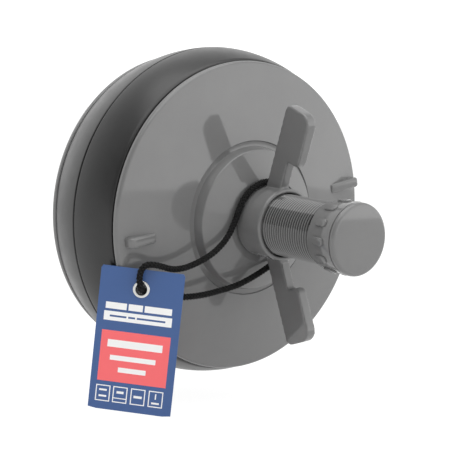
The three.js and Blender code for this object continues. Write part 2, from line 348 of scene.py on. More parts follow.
# %% [markdown]
# ## Grey moulded plastic
# The plates, nut, spindle and cap are glossy grey plastic. The gloss matters more than the
# colour, because the plate mirrors the wings and the cord in front of it. So the roughness is low
# and nearly even, and the grain only softens the mirror image a little.

# %% Grey plastic
def make_grey_plastic(name="grey_plastic"):
    material, tree, shader = start_finish(name, (0.2, 0.2, 0.2))
    add_mottled_colour(tree, shader, (0.148, 0.148, 0.148), (0.162, 0.162, 0.161), 45.0)
    add_mottled_roughness(tree, shader, 70.0, 0.05, 0.09)
    add_grain(tree, shader, Grain_Depth=0.1, Wave_Depth=0.02)
    shader.inputs["IOR"].default_value = 1.5
    return material


grey_plastic = make_grey_plastic()

# %% [markdown]
# ## Black rubber
# Moulded rubber is dark but never quite black. What the eye reads is its satin gloss: it is
# strongest at a grazing angle, so the half of the ring that curves away is light and the half
# that faces the camera stays dark. The line where the mould closed is matt.

# %% Black rubber
CREST_LINE = 0.5
RUBBER_GLOSS = 0.5


def darken_crest(tree, shader):
    """The fine line round the ring's crest holds no gloss."""
    place = tree.nodes.new("ShaderNodeTexCoord")
    parts = tree.nodes.new("ShaderNodeSeparateXYZ")
    link(tree, place.outputs["Object"], parts.inputs["Vector"])
    spread = node(tree, "ShaderNodeMapRange", From_Max=CREST_LINE * MM, To_Max=RUBBER_GLOSS)
    link(tree, math_node(tree, "ABSOLUTE", parts.outputs["Y"]), spread.inputs["Value"])
    link(tree, spread.outputs["Result"], shader.inputs["Specular IOR Level"])


def make_black_rubber():
    material, tree, shader = start_finish("black_rubber", (0.012, 0.012, 0.012))
    darken_crest(tree, shader)
    add_mottled_colour(tree, shader, (0.009, 0.009, 0.009), (0.014, 0.014, 0.014), 90.0)
    add_mottled_roughness(tree, shader, 150.0, 0.3, 0.38)
    add_grain(tree, shader, Grain_Depth=0.3, Wave_Depth=0.05)
    return material


black_rubber = make_black_rubber()

# %% Plated metal for the eyelet
def make_plated_metal():
    material, tree, shader = start_finish("plated_metal", (0.62, 0.62, 0.6), metallic=1.0)
    add_mottled_roughness(tree, shader, 900.0, 0.16, 0.3)
    add_grain(tree, shader, Grain_Depth=0.2, Wave_Depth=0.1)
    return material


plated_metal = make_plated_metal()

# %% Braided yarn for the cord
def make_black_yarn():
    material, tree, shader = start_finish("black_yarn", (0.008, 0.008, 0.008))
    add_mottled_colour(tree, shader, (0.002, 0.002, 0.002), (0.016, 0.016, 0.016), 1200.0)
    add_grain(tree, shader, Grain_Scale=5000.0, Grain_Depth=0.9, Wave_Depth=0.0)
    shader.inputs["Roughness"].default_value = 0.8
    shader.inputs["Specular IOR Level"].default_value = 0.25
    return material


black_yarn = make_black_yarn()
print("finishes", [m.name for m in (grey_plastic, black_rubber, plated_metal, black_yarn)])


def dress(piece, material):
    piece.data.materials.clear()
    piece.data.materials.append(material)
    return piece


# %% [markdown]
# ## The cord
# The cord is a thin braid of black yarn, looped round the nut's neck, through the card's eyelet
# and back, with its ends in a knot. Its route is given point by point, as the loop hangs in the
# photograph. A smooth curve through those points keeps every bend even.

# %% The cord's route
CORD_DIAMETER = 2.0
CORD_POINTS = [
    (14.5, -31, 2.9), (12.2, -31, 5.7), (8.6, -31, 10.2), (3.5, -31, 12.9), (-1.4, -31, 13.3),
    (-5.5, -31, 12.2), (-8.7, -31, 10.3), (-11.5, -31, 7), (-13.1, -31, 3.1), (-14.6, -30.9, -1.3),
    (-16.9, -30.6, -5.9), (-20.6, -30, -10), (-24.4, -29.4, -12.6), (-28.2, -28.9, -14.4),
    (-32.1, -28.5, -15.6), (-36, -28.2, -15.9), (-39.8, -28, -15.1), (-43, -27.5, -14.5),
    (-45.2, -26.4, -14.8), (-46.3, -25.6, -16.5), (-46.5, -25.3, -18.6), (-46.4, -25.4, -20.6),
    (-45.9, -25.4, -22.2), (-44.5, -24.1, -22.9), (-43.2, -22.8, -23.2), (-41.6, -22.4, -24.2),
    (-38.8, -22.9, -25), (-33.6, -24.8, -25.4), (-28.8, -26.6, -25.4), (-22, -28, -24.6),
    (-16.1, -29, -23.2), (-10.7, -29.8, -21.7), (-6.7, -30.2, -20.1), (-2.6, -30.7, -18),
    (2.2, -31, -15.3), (6.8, -31, -12.3), (10.7, -31, -9), (13.5, -31, -5.8), (14.7, -31, -3.8),
]


def smooth_route(points, steps=12):
    """A curve through the points whose knots are spaced by the root of their distance."""
    points = [Vector(point) for point in points]
    points = [2 * points[0] - points[1], *points, 2 * points[-1] - points[-2]]
    route = []
    for a, b, c, d in zip(points, points[1:], points[2:], points[3:]):
        t0 = 0.0
        t1 = t0 + math.sqrt((b - a).length)
        t2 = t1 + math.sqrt((c - b).length)
        t3 = t2 + math.sqrt((d - c).length)
        for step in range(steps):
            t = t1 + (t2 - t1) * step / steps
            ab = a.lerp(b, (t - t0) / (t1 - t0))
            bc = b.lerp(c, (t - t1) / (t2 - t1))
            cd = c.lerp(d, (t - t2) / (t3 - t2))
            abc = ab.lerp(bc, (t - t0) / (t2 - t0))
            bcd = bc.lerp(cd, (t - t1) / (t3 - t1))
            route.append(abc.lerp(bcd, (t - t1) / (t2 - t1)))
    route.append(points[-2])
    return route


cord_route = smooth_route(CORD_POINTS)

# %% [markdown]
# ## Geometry Nodes for the braid
# A braid is a rule, not a shape: as many yarns wind to the left as to the right, and each dips
# under one and over the next. Following the route, a yarn's offset is a turning vector whose
# length swings in and out at every crossing. One tree makes one set of yarns, and the two
# sets differ only in the sign of the turn and of the swing.

# %% A helper for geometry trees
def geometry_tree(name, inputs):
    tree = bpy.data.node_groups.new(name, "GeometryNodeTree")
    tree.interface.new_socket("Geometry", in_out="INPUT", socket_type="NodeSocketGeometry")
    for label, kind, value in inputs:
        socket = tree.interface.new_socket(label, in_out="INPUT", socket_type=kind)
        if value is not None:
            socket.default_value = value
    tree.interface.new_socket("Geometry", in_out="OUTPUT", socket_type="NodeSocketGeometry")
    return tree, tree.nodes.new("NodeGroupInput"), tree.nodes.new("NodeGroupOutput")


def finish_tree(tree, given, result, geometry):
    """Every tree ends in Realize Instances and Set Material."""
    real = tree.nodes.new("GeometryNodeRealizeInstances")
    paint = tree.nodes.new("GeometryNodeSetMaterial")
    link(tree, geometry, real.inputs["Geometry"])
    link(tree, real.outputs["Geometry"], paint.inputs["Geometry"])
    link(tree, given.outputs["Material"], paint.inputs["Material"])
    link(tree, paint.outputs["Geometry"], result.inputs["Geometry"])


def run_tree(piece, tree, **inputs):
    modifier = piece.modifiers.new(tree.name, "NODES")
    modifier.node_group = tree
    sockets = {s.name: s.identifier for s in tree.interface.items_tree if s.in_out == "INPUT"}
    for key, value in inputs.items():
        modifier[sockets[key.replace("_", " ")]] = value
    return modifier


def vector_node(tree, operation, first, second):
    made = tree.nodes.new("ShaderNodeVectorMath")
    made.operation = operation
    for socket, value in zip([s for s in made.inputs if s.enabled], (first, second)):
        link(tree, value, socket)
    return made.outputs[0]


# %% The braid's tree
def make_braid_tree():
    tree, given, result = geometry_tree("braid", [
        ("Yarns", "NodeSocketInt", 4), ("Lay", "NodeSocketFloat", 4.4 * MM), ("Turn", "NodeSocketFloat", 1.0),
        ("Middle Radius", "NodeSocketFloat", 0.62 * MM), ("Swing", "NodeSocketFloat", 0.28 * MM),
        ("Yarn Radius", "NodeSocketFloat", 0.27 * MM), ("Step", "NodeSocketFloat", 0.22 * MM),
        ("Material", "NodeSocketMaterial", None),
    ])
    even = tree.nodes.new("GeometryNodeResampleCurve")
    even.mode = "LENGTH"
    link(tree, given.outputs["Geometry"], even.inputs["Curve"])
    link(tree, given.outputs["Step"], even.inputs["Length"])
    copies = tree.nodes.new("GeometryNodeDuplicateElements")
    copies.domain = "SPLINE"
    link(tree, even.outputs["Curve"], copies.inputs["Geometry"])
    link(tree, given.outputs["Yarns"], copies.inputs["Amount"])

    along = tree.nodes.new("GeometryNodeSplineParameter").outputs["Length"]
    turns = math_node(tree, "DIVIDE", along, given.outputs["Lay"])
    phase = math_node(tree, "MULTIPLY", turns, 2 * math.pi)
    share = math_node(tree, "DIVIDE", copies.outputs["Duplicate Index"], given.outputs["Yarns"])
    start = math_node(tree, "MULTIPLY", share, 2 * math.pi)
    angle = math_node(tree, "ADD", math_node(tree, "MULTIPLY", phase, given.outputs["Turn"]), start)
    beat = math_node(tree, "COSINE", math_node(tree, "MULTIPLY", phase, given.outputs["Yarns"]))
    signed = math_node(tree, "MULTIPLY", beat, given.outputs["Turn"])
    swing = math_node(tree, "MULTIPLY", signed, given.outputs["Swing"])
    radius = math_node(tree, "ADD", swing, given.outputs["Middle Radius"])

    normal = tree.nodes.new("GeometryNodeInputNormal").outputs["Normal"]
    tangent = tree.nodes.new("GeometryNodeInputTangent").outputs["Tangent"]
    side = vector_node(tree, "CROSS_PRODUCT", tangent, normal)
    offset = None
    for direction, wave in ((normal, "COSINE"), (side, "SINE")):
        scale = tree.nodes.new("ShaderNodeVectorMath")
        scale.operation = "SCALE"
        link(tree, direction, scale.inputs[0])
        link(tree, math_node(tree, "MULTIPLY", math_node(tree, wave, angle), radius), scale.inputs["Scale"])
        offset = scale.outputs[0] if offset is None else vector_node(tree, "ADD", offset, scale.outputs[0])
    moved = tree.nodes.new("GeometryNodeSetPosition")
    link(tree, copies.outputs["Geometry"], moved.inputs["Geometry"])
    link(tree, offset, moved.inputs["Offset"])
    section = node(tree, "GeometryNodeCurvePrimitiveCircle", Resolution=6)
    link(tree, given.outputs["Yarn Radius"], section.inputs["Radius"])
    skin = node(tree, "GeometryNodeCurveToMesh", Fill_Caps=True)
    link(tree, moved.outputs["Geometry"], skin.inputs["Curve"])
    link(tree, section.outputs["Curve"], skin.inputs["Profile Curve"])
    finish_tree(tree, given, result, skin.outputs["Mesh"])
    return tree


braid_tree = make_braid_tree()
print("tree", braid_tree.name, "with", len(braid_tree.nodes), "nodes")

# %% A braided cord along any route
BRAID_LAY = 4.4
BRAID_MIDDLE = 0.62
BRAID_SWING = 0.28
YARN_RADIUS = 0.27
CORE_RADIUS = 0.55


def route_curve(name, route):
    data = bpy.data.curves.new(name, "CURVE")
    data.dimensions = "3D"
    spline = data.splines.new("POLY")
    spline.points.add(len(route) - 1)
    for point, place in zip(spline.points, route):
        point.co = (*(place * MM), 1.0)
    curve = bpy.data.objects.new(name, data)
    bpy.context.scene.collection.objects.link(curve)
    return curve


def joined(name, pieces):
    """One plain mesh piece made of several."""
    work = bmesh.new()
    for piece in pieces:
        work.from_mesh(piece.data)
        bpy.data.objects.remove(piece)
    mesh = bpy.data.meshes.new(name)
    work.to_mesh(mesh)
    work.free()
    whole = bpy.data.objects.new(name, mesh)
    bpy.context.scene.collection.objects.link(whole)
    mesh.shade_smooth()
    return whole


def braided(name, route, scale=1.0):
    sets = []
    for turn in (1.0, -1.0):
        curve = route_curve(f"{name}_yarns", route)
        run_tree(curve, braid_tree, Turn=turn, Material=black_yarn, Middle_Radius=BRAID_MIDDLE * MM * scale,
                 Swing=BRAID_SWING * MM * scale, Yarn_Radius=YARN_RADIUS * MM * scale,
                 Lay=BRAID_LAY * MM * scale)
        sets.append(frozen(curve, math.pi))
    core = route_curve(f"{name}_core", route[::4] + [route[-1]])
    core.data.bevel_depth = CORE_RADIUS * MM * scale
    core.data.bevel_resolution = 2
    core.data.use_fill_caps = True
    sets.append(frozen(core, math.pi))
    return joined(name, sets)


cord = dress(braided("braided_cord", cord_route), black_yarn)
print(cord.name, len(cord.data.polygons), "faces")

# %% [markdown]
# ## The knot
# The cord's two ends meet in an overhand knot beside the nut, where it shows only from the side.
# A trefoil is the closed form of that knot, so its formula gives a convincing crossing of strands
# without drawing each by hand. Two short tails come out of it.

# %% The knot
KNOT_CENTRE = Vector((14.9, -31.0, -0.5))
KNOT_RADII = Vector((1.9, 1.7, 2.8))
KNOT_CORD_SCALE = 0.62
TAIL_LENGTH = 3.2
TAIL_ROOT = KNOT_CENTRE + Vector((0.9, 0.0, -0.6))
TAIL_SAG = 0.4
TAIL_STEPS = 16


def trefoil(centre, radii, steps=90):
    inset = KNOT_CORD_SCALE * CORD_DIAMETER / 2
    route = []
    for step in range(steps + 1):
        turn = 2 * math.pi * step / steps
        across = (math.sin(turn) + 2 * math.sin(2 * turn)) / 3
        upward = (math.cos(turn) - 2 * math.cos(2 * turn)) / 3
        through = -math.sin(3 * turn)
        place = ((radii.x - inset) * across, (radii.y - inset) * through, (radii.z - inset) * upward)
        route.append(centre + Vector(place))
    return route


def tail_route(lean):
    """A short end that leaves the knot to the right and sags a little on its way."""
    tip = TAIL_ROOT + Vector((0.75, 0.12 * lean, lean)).normalized() * TAIL_LENGTH
    route = []
    for step in range(TAIL_STEPS + 1):
        share = step / TAIL_STEPS
        route.append(TAIL_ROOT.lerp(tip, share) - Vector((0, 0, TAIL_SAG * math.sin(share * math.pi))))
    return route


knot_parts = [braided("knot_loops", trefoil(KNOT_CENTRE, KNOT_RADII), KNOT_CORD_SCALE)]
for lean in (-0.5, 0.6):
    knot_parts.append(braided("knot_tail", tail_route(lean), KNOT_CORD_SCALE))
knot = dress(joined("tied_knot", knot_parts), black_yarn)
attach(knot, "clamp")
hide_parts("cord_knot")
print(knot.name, len(knot.data.polygons), "faces")

# %% [markdown]
# ## The printed card
# The card is a thin coated sheet with a hole for its eyelet. It hangs plumb from the eyelet and is
# turned towards the left. Its print is flat fields of colour: blue all over, a white strip, a coral
# panel and four framed signs, with plain bars where a real card has its words.

# %% The card's sizes and place
CARD_WIDTH = 27.0
CARD_HEIGHT = 46.5
CARD_THICKNESS = 0.4
CARD_HOLE_DROP = 6.4
CARD_HOLE_RADIUS = 2.25
CARD_CORNER = 0.5
EYELET_CENTRE = Vector((-44.5, -24.1, -22.85))
CARD_TURN = math.radians(45)
CARD_LEAN = math.radians(1.3)

to_card = (
    Matrix.Translation(EYELET_CENTRE)
    @ Matrix.Rotation(-CARD_TURN, 4, "Z")
    @ Matrix.Rotation(math.pi / 2, 4, "X")
    @ Matrix.Rotation(-CARD_LEAN, 4, "Z")
)


def on_card(x, y, z):
    return to_card @ Vector((x, y, z))


# %% The card's sheet, cut round the hole
def card_sheet():
    """Rings of points grow from the round hole to the card's edge, so the hole stays true."""
    around, rings = 96, 14
    left, right = -CARD_WIDTH / 2, CARD_WIDTH / 2
    top, bottom = CARD_HOLE_DROP, CARD_HOLE_DROP - CARD_HEIGHT
    edge = filleted([(right, bottom, CARD_CORNER), (right, top, CARD_CORNER),
                     (left, top, CARD_CORNER), (left, bottom, CARD_CORNER)])
    edge = evenly_spaced(edge, around)
    points, faces = [], []
    for side in (1, -1):
        for ring in range(rings + 1):
            share = ring / rings
            for place in edge:
                hole = place.normalized() * CARD_HOLE_RADIUS
                x, y = hole.lerp(place, share)
                points.append(on_card(x, y, side * CARD_THICKNESS / 2))
    layer = (rings + 1) * around
    for side in (0, 1):
        for ring in range(rings):
            for i in range(around):
                a = side * layer + ring * around + i
                b = side * layer + ring * around + (i + 1) % around
                faces.append((a, b, b + around, a + around))
    for ring in (0, rings):
        for i in range(around):
            a = ring * around + i
            b = ring * around + (i + 1) % around
            faces.append((a, b, b + layer, a + layer))
    return mesh_piece("printed_card", points, faces)


def evenly_spaced(outline, count):
    """Points at even angles about the hole, so each ring has the same number."""
    loop = [Vector(point) for point in outline]
    placed = []
    for step in range(count):
        turn = 2 * math.pi * step / count
        ray = Vector((math.cos(turn), math.sin(turn)))
        for a, b in zip(loop, loop[1:] + loop[:1]):
            side = b - a
            cross = ray.x * side.y - ray.y * side.x
            if abs(cross) < 1e-12:
                continue
            reach = (a.x * side.y - a.y * side.x) / cross
            share = (a.x * ray.y - a.y * ray.x) / cross
            if reach > 0 and -1e-9 <= share <= 1 + 1e-9:
                placed.append(ray * reach)
                break
    return placed


card = card_sheet()
print(card.name, len(card.data.polygons), "faces")

# %% [markdown]
# ## The print
# Each printed field is a box on the card, so one group that answers "inside this box or not" draws
# the whole print. It reads the card's own UV map, which is laid out in millimetres from the card's
# top left corner, and so the print stays on the card whichever way it hangs.

# %% The card's UV map, in millimetres
def map_card(piece):
    layer = piece.data.uv_layers.new(name="print")
    from_card = to_card.inverted()
    for loop in piece.data.loops:
        place = from_card @ (piece.data.vertices[loop.vertex_index].co / MM)
        layer.data[loop.index].uv = (place.x + CARD_WIDTH / 2, CARD_HOLE_DROP - place.y)


map_card(card)

# %% The box group
def make_box_mask():
    tree, given, result = group(
        "print_box",
        [("Place", "NodeSocketVector", None),
         ("Left", "NodeSocketFloat", 0.0), ("Top", "NodeSocketFloat", 0.0),
         ("Right", "NodeSocketFloat", 1.0), ("Bottom", "NodeSocketFloat", 1.0)],
        [("Mask", "NodeSocketFloat")],
    )
    parts = tree.nodes.new("ShaderNodeSeparateXYZ")
    link(tree, given.outputs["Place"], parts.inputs["Vector"])
    x, y = parts.outputs["X"], parts.outputs["Y"]
    inside = math_node(tree, "GREATER_THAN", x, given.outputs["Left"])
    for test in (
        math_node(tree, "LESS_THAN", x, given.outputs["Right"]),
        math_node(tree, "GREATER_THAN", y, given.outputs["Top"]),
        math_node(tree, "LESS_THAN", y, given.outputs["Bottom"]),
    ):
        inside = math_node(tree, "MULTIPLY", inside, test)
    link(tree, inside, result.inputs["Mask"])
    return tree


box_mask = make_box_mask()
print("group", box_mask.name)

# %% The print's fields, as left, top, right and bottom in millimetres
WHITE = (0.88, 0.88, 0.87)
BLUE = (0.042, 0.1, 0.27)
CORAL = (0.9, 0.14, 0.15)
HEADLINE = [(2.6, 11.6, 9.4, 13.7), (10.0, 11.6, 14.6, 13.7), (15.2, 11.6, 24.0, 13.7)]
STRIP = (2.3, 14.5, 24.3, 17.5)
STRIP_BARS = [(4.2, 15.7, 9.6, 16.3), (10.2, 15.7, 12.4, 16.3), (13.0, 15.7, 22.2, 16.3)]
PANEL = (2.2, 20.7, 24.5, 37.2)
PANEL_BARS = [(4.4, 23.6, 22.2, 26.0), (5.6, 28.6, 20.4, 30.2), (8.6, 32.4, 17.6, 34.0)]
SIGN_LEFTS = (2.1, 7.7, 13.5, 19.3)
SIGN_TOP = 38.6
SIGN_SIZE = (4.7, 5.3)
SIGN_LINE = 0.32


def sign_boxes(left):
    right, bottom = left + SIGN_SIZE[0], SIGN_TOP + SIGN_SIZE[1]
    line = SIGN_LINE
    return [
        (left, SIGN_TOP, right, SIGN_TOP + line), (left, bottom - line, right, bottom),
        (left, SIGN_TOP, left + line, bottom), (right - line, SIGN_TOP, right, bottom),
    ]


# One or two plain bars for each frame, measured from the frame's own top left corner.
SIGN_BARS = (
    ((1.1, 1.3, 3.6, 1.9), (1.1, 3.3, 3.6, 3.9)),
    ((1.2, 1.5, 3.5, 2.3), (0.0, 3.7, SIGN_SIZE[0], 4.0)),
    ((1.0, 2.3, 3.7, 3.1),),
    ((2.1, 0.9, 2.5, 2.7), (1.1, 3.7, 3.6, 4.3)),
)


def sign_marks():
    return [(frame_left + left, SIGN_TOP + top, frame_left + right, SIGN_TOP + bottom)
            for frame_left, bars in zip(SIGN_LEFTS, SIGN_BARS)
            for left, top, right, bottom in bars]


print("signs", len(SIGN_LEFTS), "with", len(sign_marks()), "bars in them")


# %% Printed card
def make_card_print():
    material, tree, shader = start_finish("card_print", BLUE)
    place = tree.nodes.new("ShaderNodeUVMap")
    place.uv_map = "print"
    signs = [box for left in SIGN_LEFTS for box in sign_boxes(left)] + sign_marks()
    fields = [(box, WHITE) for box in HEADLINE] + [(STRIP, WHITE)] + [(box, BLUE) for box in STRIP_BARS]
    fields += [(PANEL, CORAL)] + [(box, WHITE) for box in PANEL_BARS + signs]
    colour = None
    for (left, top, right, bottom), ink in fields:
        mask = use_group(tree, box_mask, Left=left, Top=top, Right=right, Bottom=bottom)
        link(tree, place.outputs["UV"], mask.inputs["Place"])
        mix = tree.nodes.new("ShaderNodeMix")
        mix.data_type = "RGBA"
        mix.inputs["A"].default_value = (*BLUE, 1.0)
        mix.inputs["B"].default_value = (*ink, 1.0)
        link(tree, mask.outputs["Mask"], mix.inputs["Factor"])
        if colour is not None:
            link(tree, colour, mix.inputs["A"])
        colour = mix.outputs["Result"]
    link(tree, colour, shader.inputs["Base Color"])
    add_mottled_roughness(tree, shader, 300.0, 0.36, 0.46)
    add_grain(tree, shader, Grain_Depth=0.2, Wave_Depth=0.15)
    return material, len(fields)


card_print, field_count = make_card_print()
dress(card, card_print)
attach(card, "clamp")
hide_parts("hang_tag")
print("print of", field_count, "fields")

# %% [markdown]
# ## The eyelet
# A pressed eyelet is one strip of metal rolled over on both sides of the card, so its lips are
# round and not flat washers. A closed outline with large fillets, turned about the hole, gives that.

# %% The eyelet
EYELET_RADIUS = 2.75
EYELET_BORE = 1.8
EYELET_HALF_HEIGHT = 0.7
EYELET_LIP_INSIDE = 0.26
EYELET_WALL = 0.3


def eyelet_ring():
    outline = filleted([
        (EYELET_BORE, -EYELET_HALF_HEIGHT, 0.2), (EYELET_RADIUS, -EYELET_HALF_HEIGHT, 0.2),
        (EYELET_RADIUS, -EYELET_LIP_INSIDE, 0.05), (EYELET_BORE + EYELET_WALL, -EYELET_LIP_INSIDE, 0.0),
        (EYELET_BORE + EYELET_WALL, EYELET_LIP_INSIDE, 0.0), (EYELET_RADIUS, EYELET_LIP_INSIDE, 0.05),
        (EYELET_RADIUS, EYELET_HALF_HEIGHT, 0.2), (EYELET_BORE, EYELET_HALF_HEIGHT, 0.2),
    ])
    ring = turned("rolled_eyelet", outline, 64)
    ring.data.transform(Matrix.Scale(1 / MM, 4))
    ring.data.transform(Matrix.Rotation(math.pi / 2, 4, "X"))
    ring.data.transform(to_card)
    ring.data.transform(Matrix.Scale(MM, 4))
    return ring


eyelet = dress(eyelet_ring(), plated_metal)
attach(eyelet, "clamp")
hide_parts("tag_eyelet")
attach(cord, "clamp")
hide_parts("tag_cord")
print(eyelet.name, len(eyelet.data.polygons), "faces")

# %% [markdown]
# ## The sealing ring
# The ring is a barrel of rubber: it bulges most at the middle, where the mould's two halves met and
# left a fine line. The barrel could be a subdivided cylinder, but its bulge follows a parabola, and
# an outline from that formula keeps the rim of light on it smooth. The ring shortens as the nut is
# turned.

# %% The sealing ring
RING_BORE = 38.6
RING_CORNER = 0.4
SEAM_WIDTH = 0.3
SEAM_DEPTH = 0.45
REAR_CONE = 0.25


def ring_radius(ahead):
    """A parabola in front of the crest; behind it a little of a straight taper is mixed in."""
    share = abs(ahead) / RING_HALF_LENGTH
    taper = REAR_CONE if ahead < 0 else 0.0
    barrel = RING_END_RADIUS + RING_BULGE * (1 - taper * share - (1 - taper) * share * share)
    seam = SEAM_DEPTH * math.exp(-((ahead / SEAM_WIDTH) ** 2))
    return barrel - seam


def ring_outline():
    half = RING_HALF_LENGTH
    coarse = [(half - RING_CORNER) * (step / 20 - 1) for step in range(41)]
    fine = [SEAM_WIDTH * step / 4 for step in range(-10, 11)]
    places = sorted({round(place, 4) for place in coarse + fine})
    outer = [(ring_radius(place), place) for place in places]
    corner = RING_CORNER
    rear = [(RING_END_RADIUS - corner + corner * math.sin(turn), -half + corner - corner * math.cos(turn))
            for turn in (0.0, 0.5, 1.0)]
    front = [(radius, -ahead) for radius, ahead in reversed(rear)]
    return [(RING_BORE, -half)] + rear + outer + front + [(RING_BORE, half)]


ring = dress(turned("rubber_ring", ring_outline(), 240), black_rubber)
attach(ring, "core")
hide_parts("sealing_ring")
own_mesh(ring)

# %% [markdown]
# ## The plates
# Both plates are shallow dishes with a rounded rim. The front one has a shallow groove round a
# raised boss, which slopes up to a hub for the nut. Small fillets do the work here: each catches
# one thin line of light, and those lines are what make the forms readable.

# %% The plates' shared outline
PLATE_WALL = 3.0
GUIDE_RADIUS = 38.3
GUIDE_INSIDE = 35.3
GUIDE_END = 6.5
SLEEVE_END = 15.9
PLATE_BORE = 10.55
SLEEVE_RADIUS = 13.55
GROOVE_WIDTH = 1.9
GROOVE_DEPTH = 0.5
BOSS_DRAFT = 0.8
GROOVE_SLOPE = 0.25
HUB_RADIUS = 14.0


def face_at(radius):
    share = (PLATE_RADIUS - radius) / (PLATE_RADIUS - BOSS_RADIUS)
    return FLANGE_FRONT + (BOSS_BASE - FLANGE_FRONT) * share


def plate_underside(rim_radius):
    return [
        (SLEEVE_RADIUS, SLEEVE_END, 0.3), (SLEEVE_RADIUS, BOSS_TOP - PLATE_WALL, 0.5),
        (BOSS_RADIUS - GROOVE_WIDTH - PLATE_WALL, BOSS_TOP - PLATE_WALL, 0.5),
        (BOSS_RADIUS, BOSS_BASE - PLATE_WALL, 0.5),
        (GUIDE_INSIDE, face_at(GUIDE_INSIDE) - PLATE_WALL, 0.5), (GUIDE_INSIDE, GUIDE_END, 0.5),
        (GUIDE_RADIUS, GUIDE_END, 0.5), (GUIDE_RADIUS, FLANGE_BACK, 0.1),
        (rim_radius, FLANGE_BACK, 0.5), (rim_radius, FLANGE_FRONT, 1.2),
    ]


# %% The front plate
def front_plate_outline():
    floor_ahead = BOSS_BASE - GROOVE_DEPTH
    wall = BOSS_RADIUS - GROOVE_WIDTH
    return filleted([
        (BOSS_RADIUS, BOSS_BASE, 0.15), (BOSS_RADIUS - GROOVE_SLOPE, floor_ahead, 0.1),
        (wall, floor_ahead, 0.15),
        (wall - BOSS_DRAFT, BOSS_TOP, 0.6), (HUB_RADIUS, HUB_TOP, 1.5),
        (PLATE_BORE, HUB_TOP, 0.2), (PLATE_BORE, SLEEVE_END, 0.2),
        *plate_underside(PLATE_RADIUS),
    ])


front_plate = dress(turned("front_plate_moulding", front_plate_outline(), 288), grey_plastic)
print(front_plate.name, len(front_plate.data.polygons), "faces")

# %% [markdown]
# ## Ribs, and copies about the axis
# The cap has a ring of grip pads, all copies of one shape about the axis. A tree places each copy
# at its share of a full turn. The front plate's two ribs aren't quite opposite each other, so they
# are simply made twice.

# %% The tree for copies about the axis
def make_ring_tree():
    tree, given, result = geometry_tree("copies_about_axis", [
        ("Copies", "NodeSocketInt", 2), ("First Angle", "NodeSocketFloat", 0.0),
        ("Material", "NodeSocketMaterial", None),
    ])
    points = tree.nodes.new("GeometryNodePoints")
    link(tree, given.outputs["Copies"], points.inputs["Count"])
    index = tree.nodes.new("GeometryNodeInputIndex").outputs["Index"]
    step = math_node(tree, "DIVIDE", 2 * math.pi, given.outputs["Copies"])
    angle = math_node(tree, "ADD", math_node(tree, "MULTIPLY", index, step), given.outputs["First Angle"])
    turn = tree.nodes.new("ShaderNodeCombineXYZ")
    link(tree, math_node(tree, "MULTIPLY", angle, -1.0), turn.inputs["Y"])
    copies = tree.nodes.new("GeometryNodeInstanceOnPoints")
    link(tree, points.outputs["Points"], copies.inputs["Points"])
    link(tree, given.outputs["Geometry"], copies.inputs["Instance"])
    link(tree, turn.outputs["Vector"], copies.inputs["Rotation"])
    finish_tree(tree, given, result, copies.outputs["Instances"])
    return tree


ring_tree = make_ring_tree()
print("tree", ring_tree.name)

# %% A slab with rounded edges, drawn in the (radius, ahead) plane
BEVEL_ANGLE = math.radians(50)
BEVEL_STEPS = 4


def prism(name, low, high):
    """A solid between two outlines that have the same number of points."""
    count = len(low)
    faces = [tuple(range(count)), tuple(range(count, 2 * count))]
    faces += [(i, (i + 1) % count, (i + 1) % count + count, i + count) for i in range(count)]
    return mesh_piece(name, low + high, faces)


def slab(name, outline, thickness):
    low, high = ([(r, -a, side * thickness / 2) for r, a in outline] for side in (-1, 1))
    return prism(name, low, high)


def soften(piece, width):
    with_modifier(piece, "BEVEL", width=width * MM, segments=BEVEL_STEPS, limit_method="ANGLE",
                  angle_limit=BEVEL_ANGLE, harden_normals=False)
    return frozen(piece)


# %% The ribs
RIB_INNER = 38.5
RIB_TOP = 22.9
RIB_TAPER = 1.6
RIB_WIDTH = 3.4
RIB_SUNK = 0.8
RIB_EDGE = 0.9
RIB_PLACES = ((math.radians(15.3), 50.8), (math.radians(190.1), 49.6))


def rib_outline(end):
    low = FLANGE_FRONT - RIB_SUNK
    return filleted([
        (RIB_INNER, low, 0.0), (end, low, 0.0),
        (end, RIB_TOP, 1.6), (RIB_INNER, RIB_TOP - RIB_TAPER, 1.0),
    ])


def plate_rib(turn, end):
    rib = soften(slab("plate_rib", rib_outline(end), RIB_WIDTH), RIB_EDGE)
    rib.data.transform(Matrix.Rotation(-turn, 4, "Y"))
    return rib


ribs = dress(joined("plate_ribs", [plate_rib(*place) for place in RIB_PLACES]), grey_plastic)
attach(front_plate, "clamp")
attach(ribs, "clamp")
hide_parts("front_plate")
print(ribs.name, len(ribs.data.polygons), "faces")

# %% The rear plate
def rear_plate_outline():
    front = filleted([
        (BOSS_RADIUS, BOSS_BASE, 0.4), (BOSS_RADIUS - BOSS_DRAFT, BOSS_TOP, 0.7),
        (PLATE_BORE, BOSS_TOP, 0.2), (PLATE_BORE, SLEEVE_END, 0.2),
        *plate_underside(REAR_PLATE_RADIUS),
    ])
    return [(radius, -ahead) for radius, ahead in front]


rear_plate = dress(turned("rear_plate_moulding", rear_plate_outline(), 240), grey_plastic)
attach(rear_plate, "core")
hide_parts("rear_plate")
print(rear_plate.name, len(rear_plate.data.polygons), "faces")
